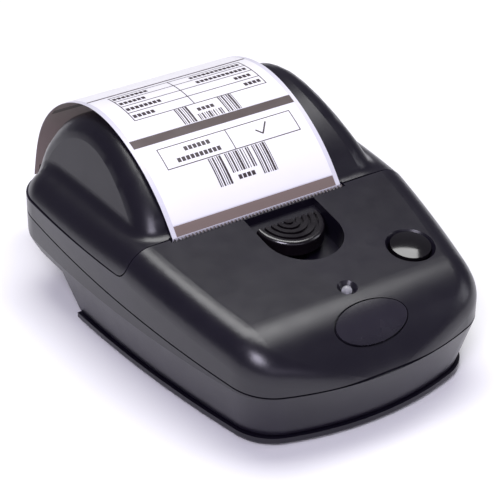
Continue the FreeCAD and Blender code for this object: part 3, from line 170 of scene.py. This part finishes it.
class Surface(Enum):
    """How a surface was made, which sets the kind of relief it has."""

    MOULDED = "moulded"
    POLISHED = "polished"
    ROLLED = "rolled"
    COATED = "coated"


@dataclass(frozen=True)
class Finish:
    """One real material with its process.

    Attributes:
        name: material and process.
        colour: sRGB hex of the clean surface.
        worn: sRGB hex of rubbed or dusty places.
        roughness: typical roughness.
        spread: how much the roughness varies over the surface.
        grain_mm: size of the relief's grain.
        relief: strength of the relief.
        surface: how it was made.
        metallic: 1 for bare metal.
        ior: index of refraction, 1.5 for metals.
        coat: weight of a clear gloss layer.
        transmission: how clear it is.
        sheen: weight of a dusty sheen.
    """

    name: str
    colour: str
    worn: str
    roughness: float
    spread: float
    grain_mm: float
    relief: float
    surface: Surface = Surface.MOULDED
    metallic: float = 0.0
    ior: float = 1.5
    coat: float = 0.0
    transmission: float = 0.0
    sheen: float = 0.0

    def make(self) -> bpy.types.Material:
        """Build the node material.

        Returns:
            The material.
        """
        material = bpy.data.materials.new(self.name)
        material.use_nodes = True
        tree = material.node_tree
        tree.nodes.clear()
        place = node(tree, "TexCoord").outputs["Object"]
        if self.surface is Surface.ROLLED:
            # Rolled and brushed metal shows lines along X, so the pattern is stretched that way.
            place = node(tree, "Mapping", {"Vector": place, "Scale": (0.06, 1.0, 1.0)}).outputs["Vector"]
        grain = node(tree, "TexNoise", {"Vector": place, "Scale": 1 / (self.grain_mm * MM),
                                        "Detail": 3.0, "Roughness": 0.6})
        # Handling marks and settled dust change over a few centimetres.
        cloud = node(tree, "TexNoise", {"Vector": place, "Scale": 1 / (28 * MM), "Detail": 5.0})
        smudge = node(tree, "TexNoise", {"Vector": place, "Scale": 1 / (6 * MM), "Detail": 4.0})
        edge = node(tree, "NewGeometry").outputs["Pointiness"]
        wear = node(tree, "MapRange", {"Value": edge, "From Min": 0.54, "From Max": 0.66,
                                       "To Min": 0.0, "To Max": 0.55})
        patch = node(tree, "MapRange", {"Value": cloud.outputs["Fac"], "From Min": 0.35,
                                        "From Max": 0.75, "To Min": 0.0, "To Max": 0.1})
        amount = node(tree, "Math", {0: wear.outputs["Result"], 1: patch.outputs["Result"]},
                      operation="ADD", use_clamp=True)
        colour = ramp(tree, amount.outputs["Value"],
                      [(0.0, linear(self.colour)), (1.0, linear(self.worn))])
        rough = node(tree, "MapRange", {
            "Value": smudge.outputs["Fac"], "From Min": 0.3, "From Max": 0.7,
            "To Min": max(self.roughness - self.spread, 0.02), "To Max": self.roughness + self.spread})
        bump = node(tree, "Bump", {"Height": grain.outputs["Fac"], "Strength": self.relief,
                                   "Distance": self.grain_mm * MM * 0.25})
        shader = node(tree, "BsdfPrincipled", {
            "Base Color": colour, "Roughness": rough.outputs["Result"], "Normal": bump.outputs["Normal"],
            "Metallic": self.metallic, "IOR": self.ior, "Coat Weight": self.coat,
            "Coat Roughness": 0.06, "Transmission Weight": self.transmission,
            "Sheen Weight": self.sheen})
        node(tree, "OutputMaterial", {"Surface": shader.outputs["BSDF"]})
        return material


# Spark-textured ABS: a fine even grain of about a third of a millimetre gives a soft satin light.
CASE_ABS = Finish("ABS, spark-textured moulding", "100d18", "211d2b", 0.3, 0.02, 0.35, 0.16, ior=1.53)
# The same ABS from a smoother mould: sharper light with a plum tint in its highlights.
LATCH_ABS = Finish("ABS, glossy moulding", "0f0b0f", "1f181d", 0.22, 0.05, 0.8, 0.05, ior=1.53, coat=0.3)
BUTTON_PC = Finish("Polycarbonate, polished cap", "0a080b", "191519", 0.15, 0.03, 1.2, 0.02,
                   Surface.POLISHED, ior=1.58, coat=0.15)
BADGE_ABS = Finish("ABS, fine matt inlay", "1a1820", "28252f", 0.25, 0.04, 0.2, 0.08, ior=1.53)
STEEL = Finish("Spring steel, rolled strip", "a8a6a4", "d8d6d2", 0.3, 0.06, 0.25, 0.12,
               Surface.ROLLED, metallic=1.0)
RUBBER = Finish("Silicone rubber, ground", "141414", "3a3937", 0.72, 0.08, 0.3, 0.3, ior=1.42, sheen=0.2)
CELL_FILM = Finish("PVC film, shrunk sleeve", "2f6b53", "4d8a70", 0.3, 0.06, 1.5, 0.06, ior=1.53)
BOARD_MASK = Finish("Glass-epoxy board, solder mask", "14512c", "2c7446", 0.32, 0.06, 0.4, 0.1, ior=1.55)
CHIP_EPOXY = Finish("Epoxy moulding compound", "151515", "33322f", 0.5, 0.06, 0.15, 0.15)
LAMP_EPOXY = Finish("Clear epoxy, cast", "e9e9ee", "f6f6fa", 0.08, 0.03, 1.0, 0.02,
                    Surface.POLISHED, ior=1.52, transmission=0.7)
GEAR_POM = Finish("Acetal, moulded gear", "dcd8cc", "efebe0", 0.38, 0.06, 0.3, 0.08, ior=1.48)
HEAD_GLAZE = Finish("Alumina ceramic, glazed", "e4e0d6", "f4f1ea", 0.18, 0.05, 0.8, 0.03,
                    Surface.POLISHED, ior=1.7)
ALUMINIUM = Finish("Aluminium, extruded", "b9babd", "dcdddf", 0.34, 0.06, 0.3, 0.1,
                   Surface.ROLLED, metallic=1.0)
BRASS = Finish("Sintered bronze bush", "a27c45", "cda56a", 0.4, 0.08, 0.2, 0.2, metallic=1.0)
LABEL_PAPER = Finish("Thermal paper, top coated", "f3f2f4", "e4e3e8", 0.42, 0.05, 0.12, 0.06,
                     Surface.COATED, ior=1.5)
LINER_PAPER = Finish("Glassine liner, calendered", "dcdbe3", "c9c8d2", 0.32, 0.05, 0.12, 0.05,
                     Surface.COATED, ior=1.5)
LINER_BACK = Finish("Liner back, printed grey", "9a8b88", "857673", 0.5, 0.06, 0.3, 0.08,
                    Surface.COATED, ior=1.5)
THERMAL_INK = Finish("Thermal print, developed", "2b2226", "3d3236", 0.45, 0.05, 0.1, 0.04,
                     Surface.COATED)
DIVIDER_INK = Finish("Divider bar, flexographic ink", "3a2b2b", "4a3a39", 0.45, 0.05, 0.2, 0.05,
                  Surface.COATED)
FADED_MARK = Finish("Divider bar, worn ink", "6f605b", "7d6e69", 0.5, 0.05, 0.2, 0.08, Surface.COATED)
CARD = Finish("Kraft card, wound tube", "9a7d58", "b39871", 0.7, 0.06, 0.5, 0.3, Surface.COATED)
INNER_ABS = Finish("ABS, plain inner moulding", "17171a", "35343a", 0.45, 0.06, 0.4, 0.1, ior=1.53)

NODE_FINISH = {
    "base_housing": CASE_ABS, "top_cover": CASE_ABS, "paper_lid": CASE_ABS, "base_plate": CASE_ABS,
    "battery_door": CASE_ABS, "release_latch": LATCH_ABS, "feed_button": BUTTON_PC,
    "nose_badge": BADGE_ABS, "tear_bar": STEEL, "rubber_feet": RUBBER, "case_screws": STEEL,
    "battery_cells": CELL_FILM, "battery_contacts": STEEL, "main_board": BOARD_MASK,
    "panel_board": BOARD_MASK, "board_components": CHIP_EPOXY, "feed_switch": CHIP_EPOXY,
    "status_lamp": LAMP_EPOXY, "chassis": STEEL, "gear_plate": STEEL, "stepper_motor": STEEL,
    "motor_pinion": GEAR_POM, "idler_gear": GEAR_POM, "platen_gear": GEAR_POM, "idler_axle": STEEL,
    "print_head": HEAD_GLAZE, "head_heatsink": ALUMINIUM, "head_springs": STEEL,
    "platen_rubber": RUBBER, "platen_shaft": STEEL, "platen_bushings": BRASS,
    "label_roll": LABEL_PAPER, "roll_core": CARD, "roll_spindle": INNER_ABS,
    "roll_holders": INNER_ABS, "hinge_pin": STEEL, "data_port": INNER_ABS,
    "power_inlet": INNER_ABS, "paper_sensor": CHIP_EPOXY, "latch_spring": STEEL,
}


class Wardrobe:
    """Keeps one node material for each finish."""

    def __init__(self) -> None:
        """Start empty."""
        self.made: dict[str, bpy.types.Material] = {}

    def get(self, finish: Finish) -> bpy.types.Material:
        """Return the finish's material, made on first use."""
        if finish.name not in self.made:
            self.made[finish.name] = finish.make()
        return self.made[finish.name]

    def dress(self, piece: bpy.types.Object, finish: Finish) -> None:
        """Give a piece one finish all over.

        Args:
            piece: the object.
            finish: its finish.
        """
        piece.data.materials.clear()
        piece.data.materials.append(self.get(finish))


# ---- modelling helpers ----------------------------------------------------------------------
def deselect() -> None:
    """Deselect every object."""
    bpy.ops.object.select_all(action="DESELECT")


def sheet_grid(name: str, columns: int, rows: int) -> bpy.types.Object:
    """Add a flat grid whose points are placed afterwards.

    Args:
        name: the new object's name.
        columns: faces across.
        rows: faces along.

    Returns:
        The grid, at the origin.
    """
    deselect()
    bpy.ops.mesh.primitive_grid_add(x_subdivisions=columns, y_subdivisions=rows, size=1.0)
    grid = bpy.context.active_object
    grid.name = name
    grid.data.name = name
    return grid


def apply_modifier(piece: bpy.types.Object, kind: str, **settings) -> None:
    """Add a modifier and apply it.

    Args:
        piece: the object.
        kind: the modifier's type.
        settings: its attributes.
    """
    deselect()
    piece.select_set(True)
    bpy.context.view_layer.objects.active = piece
    modifier = piece.modifiers.new(kind.title(), kind)
    for key, value in settings.items():
        setattr(modifier, key, value)
    bpy.ops.object.modifier_apply(modifier=modifier.name)


def fuse_pieces(pieces: list[bpy.types.Object], name: str) -> bpy.types.Object:
    """Join several objects into one.

    Args:
        pieces: the objects.
        name: the joined object's name.

    Returns:
        The joined object.
    """
    deselect()
    for piece in pieces:
        piece.select_set(True)
    bpy.context.view_layer.objects.active = pieces[0]
    bpy.ops.object.join()
    joined = bpy.context.active_object
    joined.name = name
    joined.data.name = name
    return joined


# ---- label strip ----------------------------------------------------------------------------
@dataclass
class LabelStrip:
    """The hanging strip of labels with its printed marks.

    Attributes:
        wardrobe: the finishes.
        slot_y: place of the label slot.
        left: left edge of the liner.
        right: right edge of the liner.
        route: points of the strip behind the slot and above the table, in millimetres.
        thickness: room that the strip takes inward from its outer face.
        label_inset: bare liner beside the labels.
        rows: faces along the liner.
        line: points of the curve, worked out from the route.
        reach: length along the curve at each point, from the slot.
    """

    wardrobe: Wardrobe
    slot_y: float
    left: float
    right: float
    route: tuple[tuple[float, float], ...] = (
        (0.0, 34.8), (0.0, 40.9), (5.3, 46.85), (23.5, 58.35), (42.0, 61.9), (61.3, 56.7),
        (81.2, 37.4), (86.95, 18.6))
    thickness: float = 0.2 * MM
    label_inset: float = 1.5 * MM
    rows: int = 120
    line: np.ndarray = field(init=False)
    reach: np.ndarray = field(init=False)

    def __post_init__(self) -> None:
        """Work out the curve of the strip and its length along the curve."""
        points = np.array(self.route[1:])
        steps = np.concatenate(([0], np.cumsum(np.hypot(*np.diff(points, axis=0).T))))
        dense = np.linspace(0, steps[-1], CURVE_POINTS)
        curve = np.stack([self.natural(steps, points[:, k], dense) for k in (0, 1)], axis=1)
        stem = np.linspace(self.route[0], self.route[1], STEM_POINTS, endpoint=False)
        line = np.concatenate((stem, curve))
        line = line * MM + np.array((self.slot_y, 0.0))
        reach = np.concatenate(([0], np.cumsum(np.hypot(*np.diff(line, axis=0).T))))
        self.line = line
        self.reach = reach - reach[len(stem)]

    @staticmethod
    def natural(places: np.ndarray, values: np.ndarray, wanted: np.ndarray) -> np.ndarray:
        """Natural cubic spline through values.

        Args:
            places: where the values are.
            values: the values.
            wanted: places to work out.

        Returns:
            The spline's values there.
        """
        count = len(places)
        steps = np.diff(places)
        system = np.eye(count)
        right = np.zeros(count)
        for index in range(1, count - 1):
            before, after = steps[index - 1], steps[index]
            system[index, index - 1:index + 2] = (before, 2 * (before + after), after)
            right[index] = 6 * ((values[index + 1] - values[index]) / after
                                - (values[index] - values[index - 1]) / before)
        bend = np.linalg.solve(system, right)
        spot = np.clip(np.searchsorted(places, wanted) - 1, 0, count - 2)
        step = steps[spot]
        low = (places[spot + 1] - wanted) / step
        high = (wanted - places[spot]) / step
        return (low * values[spot] + high * values[spot + 1]
                + ((low ** 3 - low) * bend[spot] + (high ** 3 - high) * bend[spot + 1]) * step ** 2 / 6)

    def point(self, x: float, along: float, above: float) -> Vector:
        """Point on the strip.

        Args:
            x: place across the strip.
            along: length from the slot, in metres.
            above: height above the outer face.

        Returns:
            The point.
        """
        y, z = (np.interp(along, self.reach, self.line[:, k]) for k in (0, 1))
        ahead = [np.interp(along + SLOPE_STEP, self.reach, self.line[:, k]) for k in (0, 1)]
        behind = [np.interp(along - SLOPE_STEP, self.reach, self.line[:, k]) for k in (0, 1)]
        run, rise = ahead[0] - behind[0], ahead[1] - behind[1]
        length = math.hypot(run, rise)
        return Vector((x, y - above * rise / length, z + above * run / length))

    def patch(self, name: str, across: tuple[float, float], along: tuple[float, float],
              above: float) -> bpy.types.Object:
        """Curved rectangle that lies on the strip.

        Args:
            name: the piece's name.
            across: left and right edge.
            along: near and far edge, measured from the slot.
            above: height above the outer face.

        Returns:
            The patch.
        """
        rows = max(1, int(abs(along[1] - along[0]) / PATCH_ROW))
        grid = sheet_grid(name, 1, rows)
        for vertex in grid.data.vertices:
            share_x, share_s = vertex.co.x + 0.5, vertex.co.y + 0.5
            x = across[0] + (across[1] - across[0]) * share_x
            s = along[0] + (along[1] - along[0]) * share_s
            vertex.co = self.point(x, s, above)
        return grid

    def stroke(self, name: str, start: tuple[float, float], end: tuple[float, float],
               width: float) -> bpy.types.Object:
        """Straight pen stroke on the strip, from one (x, along) place to another.

        Args:
            name: the piece's name.
            start: first end.
            end: second end.
            width: stroke width.

        Returns:
            The stroke.
        """
        grid = sheet_grid(name, 1, 6)
        run = Vector((end[0] - start[0], end[1] - start[1]))
        side = Vector((-run.y, run.x)).normalized() * width
        for vertex in grid.data.vertices:
            spot = Vector(start) + run * (vertex.co.y + 0.5) - side * vertex.co.x
            vertex.co = self.point(spot.x, spot.y, PRINT_LIFT)
        return grid

    def build(self) -> list[bpy.types.Object]:
        """Build the liner, the labels and the print.

        Returns:
            The pieces.
        """
        end = self.reach[-1]
        start = self.reach[0]
        liner = sheet_grid("label_liner", 1, self.rows)
        for vertex in liner.data.vertices:
            x = self.left + (self.right - self.left) * (vertex.co.x + 0.5)
            vertex.co = self.point(x, start + (end - start) * (vertex.co.y + 0.5), -self.thickness)
        self.wardrobe.dress(liner, LINER_PAPER)
        liner.data.materials.append(self.wardrobe.get(LINER_BACK))
        apply_modifier(liner, "SOLIDIFY", thickness=self.thickness * 0.6, offset=1.0)
        bpy.context.view_layer.update()
        for face in liner.data.polygons:
            outward = Vector((0.0, face.center.y - self.slot_y - 40 * MM, face.center.z - 25 * MM))
            face.material_index = 1 if face.normal.dot(outward) < 0 else 0
        labels = []
        edge = (self.left + self.label_inset, self.right - self.label_inset)
        for index, (near, far) in enumerate(LABEL_STRETCHES):
            reach = (near * MM, min(far * MM, end - STRIP_END_CLEARANCE))
            label = self.patch(f"label_{index + 1}", edge, reach, -self.thickness * 0.35)
            apply_modifier(label, "SOLIDIFY", thickness=LABEL_THICKNESS, offset=0.0)
            self.wardrobe.dress(label, LABEL_PAPER)
            labels.append(label)
        pieces = [liner, fuse_pieces(labels, "labels")]
        marks = []
        for near, far in DIVIDER_BARS:
            marks.append(self.patch("divider_bar", (edge[0] - 0.2 * MM, edge[1] + 0.2 * MM),
                                    (near * MM, far * MM), -self.thickness * 0.2))
        marked = fuse_pieces(marks, "divider_bars")
        self.wardrobe.dress(marked, DIVIDER_INK)
        worn = self.patch("slot_mark", edge, tuple(place * MM for place in SLOT_BAR), -self.thickness * 0.2)
        self.wardrobe.dress(worn, FADED_MARK)
        back = []
        for near, far in BACK_BARS:
            back.append(self.patch("back_mark", edge, (far * MM, near * MM), -self.thickness * 1.08))
        backs = fuse_pieces(back, "back_marks")
        self.wardrobe.dress(backs, DIVIDER_INK)
        for piece in (marked, worn, backs):
            apply_modifier(piece, "SOLIDIFY", thickness=INK_THICKNESS, offset=0.0)
        print_piece = self.printing()
        return pieces + [marked, worn, backs, print_piece]

    def printing(self) -> bpy.types.Object:
        """Table rules, tick, bar pattern and plain stand-ins for words.

        Returns:
            All the print as one piece.
        """
        made = []
        for x0, x1, s0, s1 in printed_boxes():
            made.append(self.patch("print", (x0 * MM, x1 * MM), (s0 * MM, s1 * MM), PRINT_LIFT))
        for ends in TICK:
            start, end = (tuple(value * MM for value in place) for place in ends)
            made.append(self.stroke("tick", start, end, TICK_WIDTH))
        joined = fuse_pieces(made, "label_print")
        apply_modifier(joined, "SOLIDIFY", thickness=PRINT_THICKNESS, offset=0.0)
        self.wardrobe.dress(joined, THERMAL_INK)
        return joined


def bar_pattern(x0: float, x1: float, s0: float, s1: float) -> list[tuple[float, float, float, float]]:
    """Upright bars of mixed widths between two edges.

    Args:
        x0: left edge.
        x1: right edge.
        s0: near end.
        s1: far end.

    Returns:
        One box for each bar, in millimetres.
    """
    boxes = []
    x = x0
    index = 0
    while x < x1:
        width = BAR_WIDTHS[index % len(BAR_WIDTHS)]
        boxes.append((x, min(x + width, x1), s0, s1))
        x += width + BAR_WIDTHS[(index * 3 + 1) % len(BAR_WIDTHS)] * 0.8 + 0.1
        index += 1
    return boxes


def word_stand_in(x0: float, x1: float, s: float, height: float) -> list[tuple[float, float, float, float]]:
    """A plain dashed bar where a label would carry a word.

    Args:
        x0: left edge.
        x1: right edge.
        s: near edge.
        height: height of the bar.

    Returns:
        One box for each dash, in millimetres.
    """
    pitch = DASH_LENGTH + DASH_GAP
    starts = [x0 + index * pitch for index in range(int((x1 - x0) / pitch))]
    return [(start, start + DASH_LENGTH, s, s + height) for start in starts]


def rule_box(x0: float, x1: float, s0: float, s1: float) -> list[tuple[float, float, float, float]]:
    """Four thin rules round a box."""
    return [(x0, x1, s0, s0 + RULE_WIDTH), (x0, x1, s1 - RULE_WIDTH, s1),
            (x0, x0 + RULE_WIDTH, s0, s1), (x1 - RULE_WIDTH, x1, s0, s1)]


def front_label() -> list[tuple[float, float, float, float]]:
    """Print on the label nearest the slot: a box with two fields above a bar pattern."""
    boxes = rule_box(-25.7, 20.3, 19.7, 27.3) + [(-2.65, -2.35, 19.7, 27.3)]
    boxes += word_stand_in(-17.6, -8.6, 24.2, DASH_HEIGHT) + word_stand_in(-21.4, -5.4, 21.1, DASH_HEIGHT)
    boxes += bar_pattern(-12.6, -8.2, 10.0, 19.5) + bar_pattern(2.4, 7.2, 10.0, 19.5)
    return boxes + bar_pattern(-7.0, 1.4, 13.0, 19.5) + word_stand_in(-5.9, 0.4, 10.6, NUMBER_DASH_HEIGHT)


def second_label() -> list[tuple[float, float, float, float]]:
    """Print on the next label: a bar pattern below a table of four rows."""
    boxes = bar_pattern(-12.6, -8.2, 33.0, 39.9) + bar_pattern(2.4, 7.2, 33.0, 39.9)
    boxes += bar_pattern(-7.0, 1.4, 33.0, 35.6) + word_stand_in(-5.9, 0.4, 36.6, NUMBER_DASH_HEIGHT)
    boxes += rule_box(-25.7, 20.3, 40.0, 56.4) + [(-5.35, -5.05, 40.0, 56.4)]
    for row in (44.1, 48.2, 52.3):
        boxes.append((-25.7, 20.3, row, row + RULE_WIDTH))
    for row, left_end, right_start in ((41.3, -17.0, 13.5), (45.4, -12.0, 12.5), (49.5, -16.0, 1.5),
                                       (53.6, -13.0, 1.5)):
        boxes += word_stand_in(-25.0, left_end, row, DASH_HEIGHT)
        boxes += word_stand_in(right_start, 19.6, row, DASH_HEIGHT)
    return boxes


def printed_boxes() -> list[tuple[float, float, float, float]]:
    """All printed rectangles on the strip as (left, right, near, far) in millimetres."""
    return front_label() + second_label()


# ---- label web inside -----------------------------------------------------------------------
@dataclass
class LabelWeb:
    """Labels between the roll and the print line.

    Attributes:
        wardrobe: the finishes.
    """

    wardrobe: Wardrobe

    def build(self) -> bpy.types.Object:
        """Build the web from the CAD sheet's shape.

        Returns:
            The web.
        """
        source = bpy.data.objects["label_web"]
        deselect()
        source.select_set(True)
        bpy.context.view_layer.objects.active = source
        bpy.ops.object.duplicate()
        web = bpy.context.active_object
        web.parent = None
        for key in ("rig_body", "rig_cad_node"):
            del web[key]
        web.name = "paper_web"
        web.data.name = "paper_web"
        bpy.ops.object.mode_set(mode="EDIT")
        bpy.ops.mesh.select_all(action="SELECT")
        bpy.ops.mesh.remove_doubles(threshold=0.00001)
        bpy.ops.mesh.subdivide(number_cuts=2)
        bpy.ops.object.mode_set(mode="OBJECT")
        self.wardrobe.dress(web, LABEL_PAPER)
        return web


# ---- stage ----------------------------------------------------------------------------------
@dataclass
class Studio:
    """Pale floor, soft lights and the camera.

    Attributes:
        slot_y: place of the label slot, from which the camera was set up.
        azimuth: direction in which the camera looks, from +Y towards +X, in degrees.
        elevation: how far it looks down, in degrees.
        roll: how far it leans about its own axis, in degrees.
    """

    slot_y: float
    azimuth: float = 33.915
    elevation: float = 32.493
    roll: float = 1.184

    def floor(self) -> None:
        """Add the plain pale floor."""
        deselect()
        bpy.ops.mesh.primitive_plane_add(size=8.0, location=(0, 0, 0))
        plane = bpy.context.active_object
        plane.name = "floor"
        material = bpy.data.materials.new("Paper sweep, matt white")
        material.use_nodes = True
        shader = material.node_tree.nodes["Principled BSDF"]
        shader.inputs["Base Color"].default_value = linear("fafafa")
        shader.inputs["Roughness"].default_value = 0.7
        plane.data.materials.append(material)

    def lamp(self, name: str, place: tuple[float, float, float], size: tuple[float, float],
             power: float, tint: str, aim: tuple[float, float, float] = (0, 0, 0.03)) -> None:
        """Add one soft box.

        Args:
            name: the lamp's name.
            place: where it hangs.
            size: width and height.
            power: watts.
            tint: sRGB hex of its light.
            aim: the point that it faces.
        """
        data = bpy.data.lights.new(name, "AREA")
        data.shape = "RECTANGLE"
        data.size, data.size_y = size
        data.energy = power
        data.color = linear(tint)[:3]
        lamp = bpy.data.objects.new(name, data)
        bpy.context.collection.objects.link(lamp)
        lamp.location = place
        lamp.rotation_euler = (Vector(aim) - Vector(place)).to_track_quat("-Z", "Y").to_euler()

    def camera(self) -> None:
        """Set the camera from the front left, a little above."""
        data = bpy.data.cameras.new("camera")
        data.lens = 139.65
        data.sensor_width = 36.0
        data.shift_x = -0.039
        data.shift_y = -0.022
        data.clip_end = 20.0
        camera = bpy.data.objects.new("camera", data)
        bpy.context.collection.objects.link(camera)
        around = math.radians(self.azimuth)
        down = math.radians(self.elevation)
        lean = math.radians(self.roll)
        level = Vector((math.cos(around), -math.sin(around), 0.0))
        onward = Vector((math.sin(around), math.cos(around), 0.0))
        ahead = onward * math.cos(down) - Vector((0.0, 0.0, math.sin(down)))
        right = level * math.cos(lean) + level.cross(ahead) * math.sin(lean)
        turn = Matrix((right, right.cross(ahead), -ahead)).transposed().to_4x4()
        camera.matrix_world = Matrix.Translation((-0.26869, -0.39963 + self.slot_y, 0.33670)) @ turn
        bpy.context.scene.camera = camera

    def build(self) -> None:
        """Build the whole stage."""
        self.camera()
        self.floor()
        self.lamp("key", (-0.62, -0.62, 0.8), (0.42, 0.42), 9.0, "efeaff")
        self.lamp("top", (0.15, 0.25, 1.1), (0.9, 0.6), 10.5, "ffffff")
        self.lamp("right", (0.9, -0.5, 0.45), (0.35, 0.6), 1.5, "f6f6ff")
        self.lamp("front", (-0.15, -1.0, 0.35), (0.9, 0.25), 0.8, "ece6ff")
        world = bpy.data.worlds.new("studio")
        bpy.context.scene.world = world
        world.use_nodes = True
        world.node_tree.nodes["Background"].inputs["Color"].default_value = linear("ebe8fb")
        world.node_tree.nodes["Background"].inputs["Strength"].default_value = 0.17
        bpy.context.scene.view_settings.view_transform = "Standard"


def main() -> None:
    """Build the printer's looks and the stage."""
    logging.basicConfig(level=logging.INFO)
    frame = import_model()
    wardrobe = Wardrobe()
    low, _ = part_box("tear_bar")
    strip_low, strip_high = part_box("label_strip")
    slot_y = low[1] + TEAR_FRONT
    Studio(slot_y).build()
    for name, finish in NODE_FINISH.items():
        wardrobe.dress(frame["nodes"][name], finish)
        LOG.info("dressed %s as %s", name, finish.name)
    web = LabelWeb(wardrobe).build()
    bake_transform(web)
    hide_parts("label_web")
    for piece in LabelStrip(wardrobe, slot_y, strip_low[0], strip_high[0]).build():
        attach(piece, "lid")
        if piece.name == "label_liner":
            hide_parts("label_strip")
        LOG.info("built %s", piece.name)


if __name__ == "__main__":
    main()
